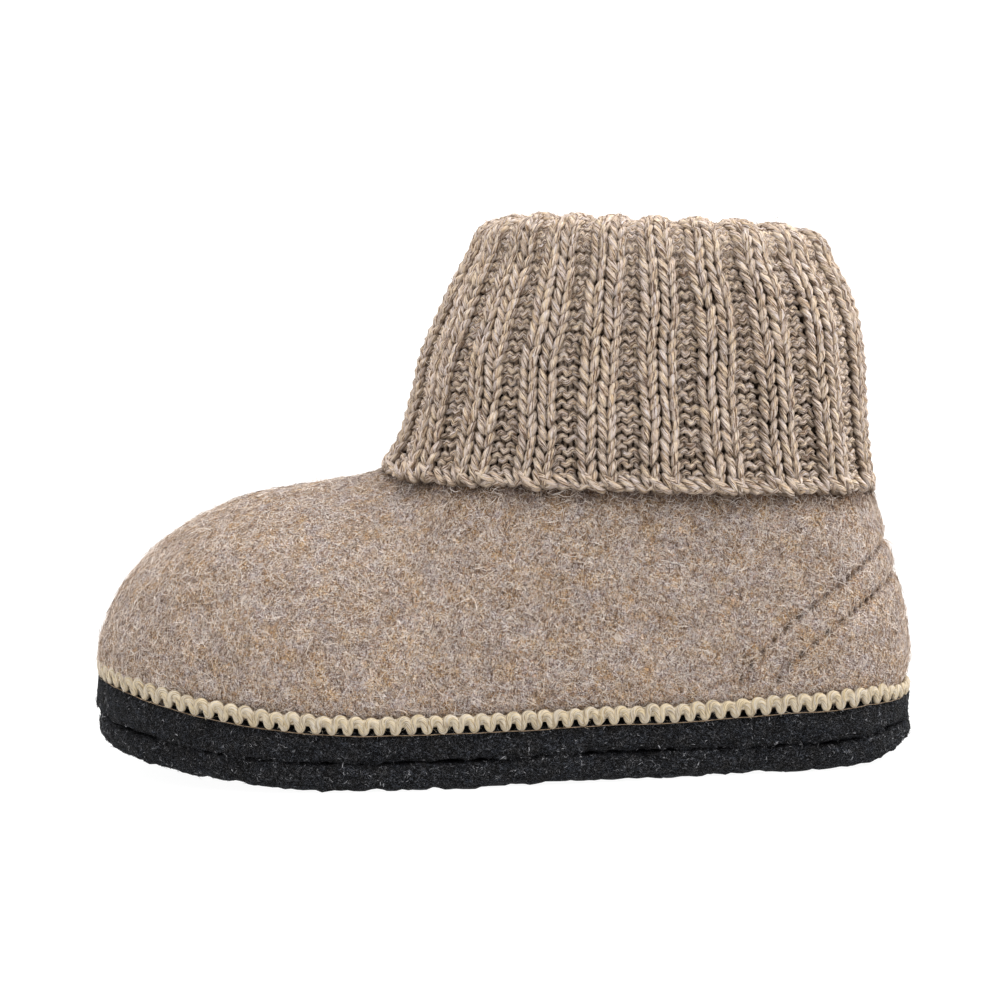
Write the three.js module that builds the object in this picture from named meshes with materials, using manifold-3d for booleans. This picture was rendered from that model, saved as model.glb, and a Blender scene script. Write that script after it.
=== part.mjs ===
// Felt slipper boot for the left foot: a sole of two felt layers, a hollow felted upper, a yarn edging
// over their join, a loose insole, and a ribbed knitted cuff turned down over the collar.
// Millimetres, +Z up, toe towards -X, the outer (lateral) side of the foot towards -Y.
import * as THREE from "three";
import Module from "manifold-3d";

const wasm = await Module();
wasm.setup();

// Driving dimensions
const LENGTH = 250; // sole, toe to heel
const GAP = 0.3; // clearance wherever two pieces meet
const SOLE_LAYER = 8.6; // thickness of each felt layer of the sole
const SOLE_EDGE = 3.6; // how far in the rounding of a layer's edge runs
const TOE_SPRING = 10; // lift of the sole at the toe tip
const HEEL_SPRING = 5; // lift of the sole at the back of the heel
const ARCH_RISE = 0.5; // lift of the sole under the waist
const FOREFOOT_FLAT = { from: -45, to: -2 }; // x range that stands flat on the floor
const HEEL_FLAT = { from: 52, to: 92 }; // x range that stands flat on the floor
const TOE_ROUND = 75; // length of the rounding of the outline at the toe
const HEEL_ROUND = 38; // length of the rounding of the outline at the heel
const TOE_SHAPE = 2.3; // how square the toe is in plan
const HEEL_SHAPE = 2.2; // how square the heel is in plan
const EDGE_SHAPE = 0.77; // how square the edge of a felt layer is, 1 for round
const TOE_CROWN = 94; // length over which the toe rises to the vamp
const CROWN_SHAPE = 2.1; // how square that rise is
const FELT_WALL = 4; // wall of the upper
const FELT_INSET = 0.6; // upper inside the sole's outline
const PINCH = 2; // how far the edging draws the upper in at the join
const PINCH_HEIGHT = 4.5; // height over which the drawn-in edge swells out again
const HEEL_CENTRE = 213; // distance behind the toe of the centre the heel curves about
const HEEL_BACK_FULLNESS = 1.7; // how square the wall behind the heel is
const KNIT_WALL = 4; // mean thickness of the knitted cloth
const RIB_COUNT = 20;
const RIB_RISE = 1.7; // height of a rib over the valley beside it
const RIB_START = 0.18; // where the first rib lies at the hem, in ribs from the heel
const RIB_LEAN = 0.45; // how far the ribs of the two sides lean towards the toe, hem to fold, in ribs
const CUFF_SQUARE = 2.3; // how square the cuff is in plan
const CUFF_AXIS = -1.5; // y of the cuff's middle line
const CUFF_MIDDLE = 40; // x at which the cuff's heights are given
const CUFF_TILT = 0.05; // fall of the cuff towards the heel
const CUFF_HEM = 86.4; // height of the hem
const HEM_LIFT = 3.8; // how far the hem rides up on the vamp in front
const HEM_LIFT_NARROW = 24; // how narrow that rise is
const CUFF_FOLD = 156; // height at which the fold begins
const FOLD_LIFT = 10.5; // height of the fold
const FOLD_DROP = 0.3; // share of that height lost at the front and the back
const FOLD_WIDTH = 16; // width of the fold, outer face to inner face
const COLLAR_WIDTH = 9.4; // the same width at the collar
const COLLAR = 97.3; // height of the felt collar's edge
const INSOLE = 4; // thickness of the insole
const INSOLE_INSET = 7.4; // insole inside the sole's outline
const TRIM_HEIGHT = 8.4; // height of the edging
const TRIM_STAND = 0.8; // how far the edging stands out past the sole
const TRIM_DEPTH = 1.5; // bulge of the edging's round face
const TRIM_MIDDLE = 1.6; // height of the edging's middle over the join
const COUNTER_STEP = 0.6; // extra thickness of the stitched heel counter
const STITCH_DEPTH = 1.1; // depth of a stitched groove
const STITCH_WIDTH = 2.6; // half width of a stitched groove

// How finely the curved faces are cut
const SIDE_STEPS = 28;
const THROAT_STEP = 6;
const WALL_ROWS = 15;
const EDGE_STEPS = 5;
const TRIM_STEPS = 4;
const STEPS_PER_RIB = 4;

// Foot sections. at: distance behind the toe; axis: y of the middle line; lateral, medial: half widths
// of the sole before its ends are rounded; fullness: how square the cross-section of the upper is.
const SECTIONS = [
  { at: 0, axis: 7, lateral: 46.5, medial: 45.5, fullness: 2.15 },
  { at: 45, axis: 2, lateral: 47.6, medial: 46.8, fullness: 2.1 },
  { at: 70, axis: 0.2, lateral: 48.4, medial: 48.9, fullness: 1.95 },
  { at: 95, axis: -0.8, lateral: 48.2, medial: 47.4, fullness: 1.75 },
  { at: 125, axis: -1.5, lateral: 45.8, medial: 44, fullness: 2 },
  { at: 155, axis: -2, lateral: 42.6, medial: 41.6, fullness: 2.4 },
  { at: 185, axis: -2, lateral: 39.2, medial: 38.6, fullness: 2.4 },
  { at: 213, axis: -1.5, lateral: 37.6, medial: 37, fullness: 2.4 },
  { at: 250, axis: -1, lateral: 36.6, medial: 36, fullness: 2.4 },
];

// Top line of the vamp. at: distance behind the toe; height: over the sole, before the toe is rounded.
const VAMP = [
  { at: 0, height: 71.5 },
  { at: 45, height: 74 },
  { at: 66, height: 72.4 },
  { at: 84, height: 72.8 },
  { at: 92, height: 76 },
  { at: 99, height: 82 },
];

// Rings of the cuff. rise: height; front, back: x of its ends; half: half width.
const CUFF_RINGS = [
  { rise: 86, front: -35.5, back: 114.8, half: 43.2 },
  { rise: 98, front: -31, back: 112.8, half: 41.8 },
  { rise: 110, front: -27.5, back: 111.9, half: 40.8 },
  { rise: 122, front: -24.6, back: 111.5, half: 40 },
  { rise: 134, front: -19.4, back: 110.3, half: 39.2 },
  { rise: 145, front: -14.2, back: 107.3, half: 38 },
  { rise: 156, front: -8.4, back: 101.8, half: 36.2 },
];

// The two stitched rows of the heel counter. from: x where the row leaves the sole; height: at the back.
const COUNTER_ROWS = [
  { name: "outer", from: 64, height: 71 },
  { name: "inner", from: 75, height: 60 },
];
const COUNTER_CURVE = 0.6; // how quickly a row climbs
const COUNTER_FOOT = 26; // height at which the rows leave the sole

// Smooth curve through one column of a table; it never overshoots the rows.
function through(rows, key, column) {
  const slopes = [];
  for (let i = 0; i + 1 < rows.length; i += 1) {
    slopes.push((rows[i + 1][column] - rows[i][column]) / (rows[i + 1][key] - rows[i][key]));
  }
  const tangents = rows.map((row, i) => {
    const before = slopes[Math.max(i - 1, 0)];
    const after = slopes[Math.min(i, slopes.length - 1)];
    return before * after > 0 ? (2 * before * after) / (before + after) : 0;
  });
  return (place) => {
    const last = rows.length - 2;
    let i = 0;
    while (i < last && place > rows[i + 1][key]) i += 1;
    const width = rows[i + 1][key] - rows[i][key];
    const t = THREE.MathUtils.clamp((place - rows[i][key]) / width, 0, 1);
    const rise = rows[i + 1][column] - rows[i][column];
    const swing = t * (1 - t) * width * ((1 - t) * tangents[i] - t * tangents[i + 1]);
    return rows[i][column] + rise * t * t * (3 - 2 * t) + swing;
  };
}

const axisAt = through(SECTIONS, "at", "axis");
const lateralAt = through(SECTIONS, "at", "lateral");
const medialAt = through(SECTIONS, "at", "medial");
const fullnessAt = through(SECTIONS, "at", "fullness");
const vampAt = through(VAMP, "at", "height");
const ringFront = through(CUFF_RINGS, "rise", "front");
const ringBack = through(CUFF_RINGS, "rise", "back");
const ringHalf = through(CUFF_RINGS, "rise", "half");

// Height of a superellipse of unit size over a point that lies so far along its base.
function bow(along, power) {
  const rest = 1 - Math.min(Math.abs(along), 1) ** power;
  return rest ** (1 / power);
}

// Lift of the whole shoe along its length: toe spring, arch and heel.
function spring(x) {
  const half = LENGTH / 2;
  if (x < FOREFOOT_FLAT.from) {
    return TOE_SPRING * ((FOREFOOT_FLAT.from - x) / (half + FOREFOOT_FLAT.from)) ** 2;
  }
  if (x > HEEL_FLAT.to) return HEEL_SPRING * ((x - HEEL_FLAT.to) / (half - HEEL_FLAT.to)) ** 2;
  if (x > FOREFOOT_FLAT.to && x < HEEL_FLAT.from) {
    const across = (x - FOREFOOT_FLAT.to) / (HEEL_FLAT.from - FOREFOOT_FLAT.to);
    return ARCH_RISE * Math.sin(Math.PI * across) ** 2;
  }
  return 0;
}

// Outline of the sole, from the toe along the lateral side to the heel and back along the medial side.
function outlinePoint(at, side) {
  const half = side < 0 ? lateralAt(at) : medialAt(at);
  const toe = bow(1 - Math.min(at / TOE_ROUND, 1), TOE_SHAPE);
  const heel = bow(1 - Math.min((LENGTH - at) / HEEL_ROUND, 1), HEEL_SHAPE);
  return { at, side, x: at - LENGTH / 2, y: axisAt(at) + side * half * toe * heel };
}

// Stations are close at toe and heel, and one lies where the collar opens at the throat.
const THROAT = ringFront(COLLAR) + KNIT_WALL + GAP + LENGTH / 2;
const throatStations = [THROAT - THROAT_STEP, THROAT, THROAT + THROAT_STEP];
const stations = [...throatStations];
for (let i = 0; i <= SIDE_STEPS; i += 1) {
  const at = (LENGTH * (1 - Math.cos((Math.PI * i) / SIDE_STEPS))) / 2;
  if (throatStations.every((other) => Math.abs(at - other) > THROAT_STEP / 2)) stations.push(at);
}
stations.sort((a, b) => a - b);
const SIDE_STATIONS = stations.length - 1;
const lateralSide = stations.map((at) => outlinePoint(at, -1));
const medialSide = stations.slice(1, -1).reverse().map((at) => outlinePoint(at, 1));
const OUTLINE = [...lateralSide, ...medialSide];

// The outline moved outwards by a distance.
function offset(distance) {
  return OUTLINE.map((point, i) => {
    const before = OUTLINE[(i + OUTLINE.length - 1) % OUTLINE.length];
    const after = OUTLINE[(i + 1) % OUTLINE.length];
    const run = Math.hypot(after.x - before.x, after.y - before.y);
    const x = point.x + (distance * (after.y - before.y)) / run;
    const y = point.y - (distance * (after.x - before.x)) / run;
    return { ...point, x, y };
  });
}

// Triangles with points that lie in one place joined, and those that have no width left out.
function joined(points, index) {
  const first = new Map();
  const same = points.map((point, i) => {
    const key = point.toArray().map((value) => value.toFixed(3)).join();
    if (!first.has(key)) first.set(key, i);
    return first.get(key);
  });
  const kept = [];
  for (let i = 0; i < index.length; i += 3) {
    const [a, b, c] = index.slice(i, i + 3).map((corner) => same[corner]);
    if (a !== b && b !== c && c !== a) kept.push(a, b, c);
  }
  return kept;
}

// Sheet from rows of points; each row goes once round, so every row closes on itself.
function sheetOf(rows) {
  const around = rows[0].length;
  const places = rows.flat();
  const quads = [];
  for (let r = 0; r + 1 < rows.length; r += 1) {
    for (let c = 0; c < around; c += 1) {
      const a = r * around + c;
      const b = r * around + ((c + 1) % around);
      quads.push(a, b, b + around, a, b + around, a + around);
    }
  }
  const index = joined(places, quads);
  const surface = new THREE.BufferGeometry().setFromPoints(places);
  surface.setIndex(index);
  surface.computeVertexNormals();
  const normals = surface.getAttribute("normal");
  const points = places.map((place, i) => ({
    place,
    facing: new THREE.Vector3().fromBufferAttribute(normals, i),
    along: (i % around) / around,
  }));
  return { points, index };
}

// Open edges of a sheet, each as [from, to].
function openEdges(sheet) {
  const edges = new Map();
  for (let i = 0; i < sheet.index.length; i += 3) {
    for (let k = 0; k < 3; k += 1) {
      const from = sheet.index[i + k];
      const to = sheet.index[i + ((k + 1) % 3)];
      if (!edges.delete(`${to} ${from}`)) edges.set(`${from} ${to}`, [from, to]);
    }
  }
  return [...edges.values()];
}

function solidOf(points, index) {
  const vertProperties = new Float32Array(points.flatMap((point) => [point.x, point.y, point.z]));
  const mesh = new wasm.Mesh({ numProp: 3, vertProperties, triVerts: new Uint32Array(index) });
  return new wasm.Manifold(mesh);
}

// Closed wall between two faces of one sheet; each face is a function of a point and its normal.
function wallOf(sheet, outer, inner) {
  const count = sheet.points.length;
  const index = [...sheet.index];
  for (let i = 0; i < sheet.index.length; i += 3) {
    index.push(index[i] + count, index[i + 2] + count, index[i + 1] + count);
  }
  for (const [from, to] of openEdges(sheet)) {
    index.push(to, from, from + count, to, from + count, to + count);
  }
  return solidOf([...sheet.points.map(outer), ...sheet.points.map(inner)], index);
}

// Filled form under a sheet: each open edge is closed to the middle of its loop, the lower one well
// below the floor so that the whole foot of the wall is taken in.
function filledUnder(sheet, outer) {
  const points = sheet.points.map(outer);
  const index = [...sheet.index];
  const next = new Map(openEdges(sheet));
  while (next.size) {
    const loop = [next.keys().next().value];
    while (next.has(loop.at(-1))) {
      const to = next.get(loop.at(-1));
      next.delete(loop.at(-1));
      loop.push(to);
    }
    loop.pop();
    const middle = new THREE.Vector3();
    for (const i of loop) middle.addScaledVector(points[i], 1 / loop.length);
    if (middle.z < JOIN + TOE_SPRING) middle.z = -COLLAR;
    points.push(middle);
    loop.forEach((from, i) => index.push(loop[(i + 1) % loop.length], from, points.length - 1));
  }
  return solidOf(points, index);
}

// Rounded edge of a felt layer: how far out and how high it is at a turn from its lower to its upper face.
function feltEdge(turn, thickness, edge) {
  const out = edge * (Math.abs(Math.cos(turn)) ** EDGE_SHAPE - 1);
  const up = (thickness / 2) * (1 + Math.sign(turn) * Math.abs(Math.sin(turn)) ** EDGE_SHAPE);
  return { out, up };
}

// The outline, moved out and lifted over the sole's own line.
function lifted(out, up) {
  return offset(out).map(({ x, y }) => new THREE.Vector3(x, y, up + spring(x)));
}

// Felt slab on the sole's outline with a rounded edge.
function slab(inset, bottom, thickness, edge, steps) {
  const rows = [];
  for (let k = 0; k <= steps; k += 1) {
    const { out, up } = feltEdge(Math.PI * (k / steps - 0.5), thickness, edge);
    rows.push(lifted(out - inset, bottom + up));
  }
  const { index } = sheetOf(rows);
  const around = OUTLINE.length;
  const top = around * steps;
  for (let i = 0; i < SIDE_STATIONS; i += 1) {
    const [a, b] = [i, i + 1];
    const [c, d] = [around - i - 1, (around - i) % around];
    index.push(a, c, b, a, d, c);
    index.push(a + top, b + top, c + top, a + top, c + top, d + top);
  }
  return solidOf(rows.flat(), joined(rows.flat(), index));
}

// Heights of the sole's faces
const MIDSOLE_BOTTOM = SOLE_LAYER + GAP;
const SOLE_TOP = MIDSOLE_BOTTOM + SOLE_LAYER;
const JOIN = SOLE_TOP + GAP;

// The cuff's ring at a height, drawn in by an inset.
function ringAt(rise, inset) {
  const front = ringFront(rise) + inset;
  const back = ringBack(rise) - inset;
  return { centre: (front + back) / 2, long: (back - front) / 2, half: ringHalf(rise) - inset };
}

function tilted(rise, x) {
  return rise - CUFF_TILT * (x - CUFF_MIDDLE);
}

// The felt collar's edge lies just inside the turned-down knit.
const COLLAR_RING = ringAt(COLLAR, KNIT_WALL + GAP);

// Distance from an inner point to the collar's edge along a direction in plan.
function collarReach(x, y, toX, toY) {
  let near = 0;
  let far = LENGTH;
  for (let i = 0; i < 40; i += 1) {
    const middle = (near + far) / 2;
    const across = Math.abs((x + middle * toX - COLLAR_RING.centre) / COLLAR_RING.long) ** CUFF_SQUARE;
    const along = Math.abs((y + middle * toY - CUFF_AXIS) / COLLAR_RING.half) ** CUFF_SQUARE;
    if (across + along < 1) near = middle;
    else far = middle;
  }
  return near;
}

// One wall line of the upper: a superellipse from the sole's edge up to the ridge or the collar.
// Behind the heel centre the lines spread about it; ahead of it each lies straight across the foot.
function wallLine(point) {
  const behind = point.at > HEEL_CENTRE;
  const at = behind ? HEEL_CENTRE : point.at;
  const from = { x: behind ? HEEL_CENTRE - LENGTH / 2 : point.x, y: axisAt(at) };
  const reach = Math.hypot(point.x - from.x, point.y - from.y);
  if (point.at === 0) {
    return Array(WALL_ROWS + 1).fill(new THREE.Vector3(point.x, point.y, JOIN + spring(point.x)));
  }
  const toX = (point.x - from.x) / reach;
  const toY = (point.y - from.y) / reach;
  const backwards = behind ? toX * toX : 0;
  const fullness = THREE.MathUtils.lerp(fullnessAt(point.at), HEEL_BACK_FULLNESS, backwards);
  const ahead = at < THROAT + GAP;
  let height = vampAt(at) * bow(1 - Math.min(at / TOE_CROWN, 1), CROWN_SHAPE);
  let top = height;
  if (!ahead) {
    const opening = collarReach(from.x, from.y, toX, toY);
    const collarX = from.x + toX * opening;
    top = tilted(COLLAR, collarX) - JOIN - spring(collarX);
    height = top / bow(opening / reach, fullness);
  }
  const last = Math.asin(Math.min((top / height) ** (fullness / 2), 1));
  return Array.from({ length: WALL_ROWS + 1 }, (_, row) => {
    const turn = last * (row / WALL_ROWS) ** 1.6;
    const out = reach * Math.abs(Math.cos(turn)) ** (2 / fullness);
    const up = row === WALL_ROWS ? top : height * Math.sin(turn) ** (2 / fullness);
    const x = from.x + toX * out;
    return new THREE.Vector3(x, from.y + toY * out, JOIN + spring(x) + up);
  });
}

// Relief of the heel counter: thicker felt behind the outer row, drawn in along both rows of stitches.
function counterRelief(place) {
  const settle = THREE.MathUtils.smoothstep(place.z, JOIN + PINCH_HEIGHT, JOIN + 3 * PINCH_HEIGHT);
  let relief = 0;
  for (const row of COUNTER_ROWS) {
    const along = (place.x - row.from) / (LENGTH / 2 - row.from);
    const climb = row.height - COUNTER_FOOT;
    const t = Math.max(along, 0.02);
    const line = COUNTER_FOOT + climb * t ** COUNTER_CURVE;
    const slope = (climb * COUNTER_CURVE * t ** (COUNTER_CURVE - 1)) / (LENGTH / 2 - row.from);
    const across = (line - place.z) / Math.hypot(1, slope);
    const shown = THREE.MathUtils.smoothstep(along, -0.05, 0.08);
    relief -= shown * STITCH_DEPTH * Math.exp(-((across / STITCH_WIDTH) ** 2));
    relief += shown * (COUNTER_STEP / 2) * THREE.MathUtils.smoothstep(across, 0, STITCH_WIDTH);
  }
  return relief * settle;
}

// Upper
const upperColumns = OUTLINE.map(wallLine);
const upperRows = Array.from({ length: WALL_ROWS + 1 }, (_, row) => upperColumns.map((column) => column[row]));
const upperSheet = sheetOf(upperRows);

// A point of the sheet moved out along its normal, drawn in by the edging and kept on the sole's face.
function felt({ place, facing }, out) {
  const up = place.z - JOIN - spring(place.x);
  const drawn = PINCH * Math.exp(-((up / PINCH_HEIGHT) ** 2));
  const moved = place.clone().addScaledVector(facing, out - FELT_INSET - drawn);
  if (up < 0.01) moved.z = JOIN + spring(moved.x);
  return moved;
}

const upperFace = (point) => felt(point, counterRelief(point.place));
const upperClear = (point) => felt(point, counterRelief(point.place) + GAP);
const upperInside = (point) => felt(point, -FELT_WALL);
const upper = wallOf(upperSheet, upperFace, upperInside);
const upperRoom = filledUnder(upperSheet, upperClear);

// Sole layers and insole
const outsole = slab(0, 0, SOLE_LAYER, SOLE_EDGE, EDGE_STEPS);
const midsole = slab(0, MIDSOLE_BOTTOM, SOLE_LAYER, SOLE_EDGE, EDGE_STEPS);
const insole = slab(INSOLE_INSET, JOIN, INSOLE, INSOLE / 3, 2);

// Edging over the join: a round face outside, the drawn-in upper and the midsole's shoulder behind it.
const trimRows = [];
for (let k = 0; k <= TRIM_STEPS; k += 1) {
  const turn = THREE.MathUtils.lerp(-1, 1.1, k / TRIM_STEPS);
  const out = TRIM_STAND - TRIM_DEPTH * (1 - Math.cos(turn));
  trimRows.push(lifted(out, JOIN + TRIM_MIDDLE + (TRIM_HEIGHT / 2) * Math.sin(turn)));
}
for (const up of [PINCH_HEIGHT + 0.5, PINCH_HEIGHT / 2, 0]) {
  const drawn = PINCH * Math.exp(-((up / PINCH_HEIGHT) ** 2));
  trimRows.push(lifted(GAP - FELT_INSET - drawn, JOIN + up));
}
for (const turn of [0.9, 0.5]) {
  const { out, up } = feltEdge(turn, SOLE_LAYER, SOLE_EDGE);
  trimRows.push(lifted(out + GAP * Math.cos(turn), MIDSOLE_BOTTOM + up + GAP * Math.sin(turn)));
}
trimRows.push(trimRows[0]);
const edgeTrim = solidOf(trimRows.flat(), sheetOf(trimRows).index);

// Cuff: columns of points are even round the tube, so the ribs are too.
function superPoint(turn, long, half) {
  const x = long * Math.sign(Math.cos(turn)) * Math.abs(Math.cos(turn)) ** (2 / CUFF_SQUARE);
  const y = half * Math.sign(Math.sin(turn)) * Math.abs(Math.sin(turn)) ** (2 / CUFF_SQUARE);
  return { x, y };
}

// The turn of the cuff's ring that lies a share of the way round it, measured along the knit.
function turnFinder() {
  const ring = ringAt((CUFF_HEM + CUFF_FOLD) / 2, 0);
  const fine = 2000;
  const lengths = [0];
  let before = superPoint(0, ring.long, ring.half);
  for (let i = 1; i <= fine; i += 1) {
    const after = superPoint((2 * Math.PI * i) / fine, ring.long, ring.half);
    lengths.push(lengths.at(-1) + Math.hypot(after.x - before.x, after.y - before.y));
    before = after;
  }
  return (along) => {
    const wanted = lengths.at(-1) * (along - Math.floor(along));
    const i = lengths.findIndex((length) => length > wanted);
    const part = (wanted - lengths[i - 1]) / (lengths[i] - lengths[i - 1]);
    return (2 * Math.PI * (i - 1 + part)) / fine;
  };
}

const turnAt = turnFinder();
const CUFF_COLUMNS = RIB_COUNT * STEPS_PER_RIB;
const cuffPath = [];
const OUTER_STEPS = 6;
const FOLD_STEPS = 4;
const INNER_STEPS = 3;
for (let k = 0; k < OUTER_STEPS; k += 1) {
  const up = k / OUTER_STEPS;
  cuffPath.push({ rise: THREE.MathUtils.lerp(CUFF_HEM, CUFF_FOLD, up), inset: 0, lift: 0, ride: 1 - up });
}
for (let k = 0; k <= FOLD_STEPS; k += 1) {
  const turn = (Math.PI * k) / FOLD_STEPS;
  const inset = (FOLD_WIDTH / 2) * (1 - Math.cos(turn));
  cuffPath.push({ rise: CUFF_FOLD, inset, lift: FOLD_LIFT * Math.sin(turn), ride: 0 });
}
for (let k = 1; k <= INNER_STEPS; k += 1) {
  const down = k / INNER_STEPS;
  const rise = THREE.MathUtils.lerp(CUFF_FOLD, COLLAR + GAP, down);
  cuffPath.push({ rise, inset: THREE.MathUtils.lerp(FOLD_WIDTH, COLLAR_WIDTH, down), lift: 0, ride: 0 });
}
const cuffRows = cuffPath.map(({ rise, inset, lift, ride }) =>
  Array.from({ length: CUFF_COLUMNS }, (_, column) => {
    const upright = turnAt(column / CUFF_COLUMNS);
    const lean = (RIB_LEAN * (1 - ride) * Math.sin(upright)) / RIB_COUNT;
    const turn = turnAt(column / CUFF_COLUMNS + lean);
    const forward = Math.max(-Math.cos(turn), 0) ** HEM_LIFT_NARROW;
    const risen = rise + ride * HEM_LIFT * forward;
    const raised = lift * (1 - FOLD_DROP * Math.cos(turn) ** 6);
    const ring = ringAt(risen, inset);
    const { x, y } = superPoint(turn, ring.long, ring.half);
    return new THREE.Vector3(ring.centre + x, CUFF_AXIS + y, tilted(risen + raised, ring.centre + x));
  }),
);
const cuffSheet = sheetOf(cuffRows);
const cuffInside = ({ place, facing }) => place.clone().addScaledVector(facing, -KNIT_WALL);
const cuffRibs = ({ place, facing, along }) => {
  const rib = (RIB_RISE / 2) * Math.cos(2 * Math.PI * (RIB_COUNT * along - RIB_START));
  return place.clone().addScaledVector(facing, rib);
};
const cuff = wallOf(cuffSheet, cuffRibs, cuffInside).subtract(upperRoom);

const slipper = new THREE.Group();
slipper.name = "felt_slipper_boot";

function addPiece(name, solid, colour, roughness) {
  const mesh = solid.getMesh();
  const geometry = new THREE.BufferGeometry();
  geometry.setAttribute("position", new THREE.BufferAttribute(mesh.vertProperties, mesh.numProp));
  geometry.setIndex(new THREE.BufferAttribute(mesh.triVerts, 1));
  const material = new THREE.MeshStandardMaterial({ color: colour, roughness, metalness: 0 });
  const piece = new THREE.Mesh(geometry, material);
  piece.name = name;
  slipper.add(piece);
}

addPiece("outsole", outsole, "#2f3134", 0.95);
addPiece("midsole", midsole, "#35373a", 0.95);
addPiece("upper", upper, "#a8947f", 0.95);
addPiece("edge_trim", edgeTrim, "#c9b996", 0.9);
addPiece("insole", insole, "#b7a893", 0.95);
addPiece("cuff", cuff, "#ab9884", 0.95);

export default slipper;
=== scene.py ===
# Felt slipper boot for the left foot, dressed over its solids: charcoal felt sole, felted wool upper,
# looped yarn edging, loose insole, and a knitted cuff turned down over the collar.
# Curves and tables are in millimetres from the middle of the sole, meshes and materials in metres.
import math

import bpy
import numpy as np
from mathutils import Matrix


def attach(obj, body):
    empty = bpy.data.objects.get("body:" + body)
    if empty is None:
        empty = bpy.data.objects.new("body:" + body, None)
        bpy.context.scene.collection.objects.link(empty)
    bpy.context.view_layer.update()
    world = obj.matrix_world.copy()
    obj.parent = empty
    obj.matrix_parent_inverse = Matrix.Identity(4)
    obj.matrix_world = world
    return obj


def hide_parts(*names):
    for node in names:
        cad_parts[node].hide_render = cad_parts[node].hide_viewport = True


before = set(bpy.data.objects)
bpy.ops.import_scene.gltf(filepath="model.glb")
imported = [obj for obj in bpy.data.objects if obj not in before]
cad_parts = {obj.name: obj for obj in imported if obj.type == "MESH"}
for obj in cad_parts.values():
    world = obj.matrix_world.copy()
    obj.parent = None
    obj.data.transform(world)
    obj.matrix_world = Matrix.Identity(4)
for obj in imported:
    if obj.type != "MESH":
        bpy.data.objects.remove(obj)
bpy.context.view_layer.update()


# Sole: two layers of thick charcoal wool felt, each cut to the foot's outline with a soft rolled edge.
# They are glued face to face, so a groove runs round half way up, and the lower one treads the floor.
SEAM, JOIN = 9.0, 17.8  # heights of the groove between the layers and of the seam with the upper
SPRING = {  # how far the shoe bends up, the x where it starts, and the run that it grows over
    "toe": (10, -45, 80),
    "heel": (5, 92, 33),
    "arch": (0.5, -2, 54),
}
RIM = {  # how far the sole's upper edge rises or drops, the x where it starts, and the run
    "toe_rise": (2.6, -45, 75),
    "heel_rise": (1.5, 45, 40),
    "back_drop": (3.7, 106, 17),
}
SOLE_VOXEL = 0.0018
SOLE_LUMPS = ((0.008, 0.0018), (0.003, 0.0014))  # size and depth of the felt's lumps
SOLE_WAVES = ((0.31, 0.2, 0), (0.13, -0.27, 1.7), (0.72, 0.55, 0.6))  # unevenness of the edges in x and y
LIP_HALF = 1.5  # half height of the groove's lips
LIP_OUT, LIP_CLOSE = (2.0, 0.4), (0.75, 0.3)  # how far the lips swell and close, evenly and unevenly
SHOULDER_HALF, SHOULDER_DROP, SHOULDER_OUT = 1.3, 0.6, 0.45  # the swelling below the edging
TREAD_HIGH, TREAD_LIFT = 4, 0.4  # the uneven lower rim
RIM_START, RIM_HIGH, RIM_LIFT = 3, 5, 1.0  # the upper edge, drawn up to the seam
SOLE_WISPS, WISP_LONG, WISP_WIDE = 6000, (0.0006, 0.0019), 0.00014  # loose hairs on each layer
HAIR_START, HAIR_DROP = 5e-5, 1.65  # how far over the felt a hair starts, and how soon it turns down again
FIBRES = (  # turn of each set of fibres, the width of its lines, how strongly it shows, its tone
    ((0.2, 0.1, 0.1), 0.05, 0.5, "pale"),
    ((0.3, 1.15, 0.4), 0.045, 0.55, "dark"),
    ((0.6, 2.2, 0.2), 0.04, 0.6, "pale"),
    ((0.1, 0.6, 0.3), 0.035, 0.8, "pale"),
    ((0.4, 1.7, 0.8), 0.03, 0.7, "dark"),
)
CLOUD_TINTS = ((0.87, 0.85, 0.82), (1.12, 1.13, 1.15))  # broad patches of the felt, dimmer and lighter
THREAD_AND_SHADE_TINT = (0.2, 0.15, 0.12)  # painted shade on felt under an edge, and the dark thread with painted shade along a row of stitches


def chosen(piece):
    """Makes a piece the one that operators work on."""
    bpy.ops.object.select_all(action="DESELECT")
    piece.select_set(True)
    bpy.context.view_layer.objects.active = piece


def copy_of(node, name):
    """A new piece with the merged mesh of a solid, its triangles paired into quads where they can be."""
    piece = bpy.data.objects.new(name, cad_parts[node].data.copy())
    bpy.context.scene.collection.objects.link(piece)
    piece.data.materials.clear()
    chosen(piece)
    bpy.ops.object.mode_set(mode="EDIT")
    bpy.ops.mesh.select_all(action="SELECT")
    bpy.ops.mesh.remove_doubles(threshold=2e-6)
    bpy.ops.mesh.tris_convert_to_quads(face_threshold=math.radians(50), shape_threshold=math.radians(60))
    bpy.ops.object.mode_set(mode="OBJECT")
    return piece


def worked(piece, kind, **settings):
    """Adds a modifier to a piece and applies it."""
    chosen(piece)
    modifier = piece.modifiers.new("work", kind)
    for key, value in settings.items():
        setattr(modifier, key, value)
    bpy.ops.object.modifier_apply(modifier=modifier.name)


def lumps(piece, grain, depth):
    """Uneven felt: pushes the surface in and out by soft lumps of one size."""
    texture = bpy.data.textures.new("lumps", "CLOUDS")
    texture.noise_scale = grain
    texture.noise_depth = 2
    worked(piece, "DISPLACE", texture=texture, strength=depth, mid_level=0.5, texture_coords="LOCAL")


def rows_of(items, key, kind=np.float32, width=3):
    """One value of every item of a mesh, as an array with a row for each."""
    values = np.empty(len(items) * width, dtype=kind)
    items.foreach_get(key, values)
    return values.reshape(-1, width)


def set_rows(items, key, values):
    """Gives every item of a mesh its own value."""
    items.foreach_set(key, values.astype(np.float32).ravel())


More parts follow.
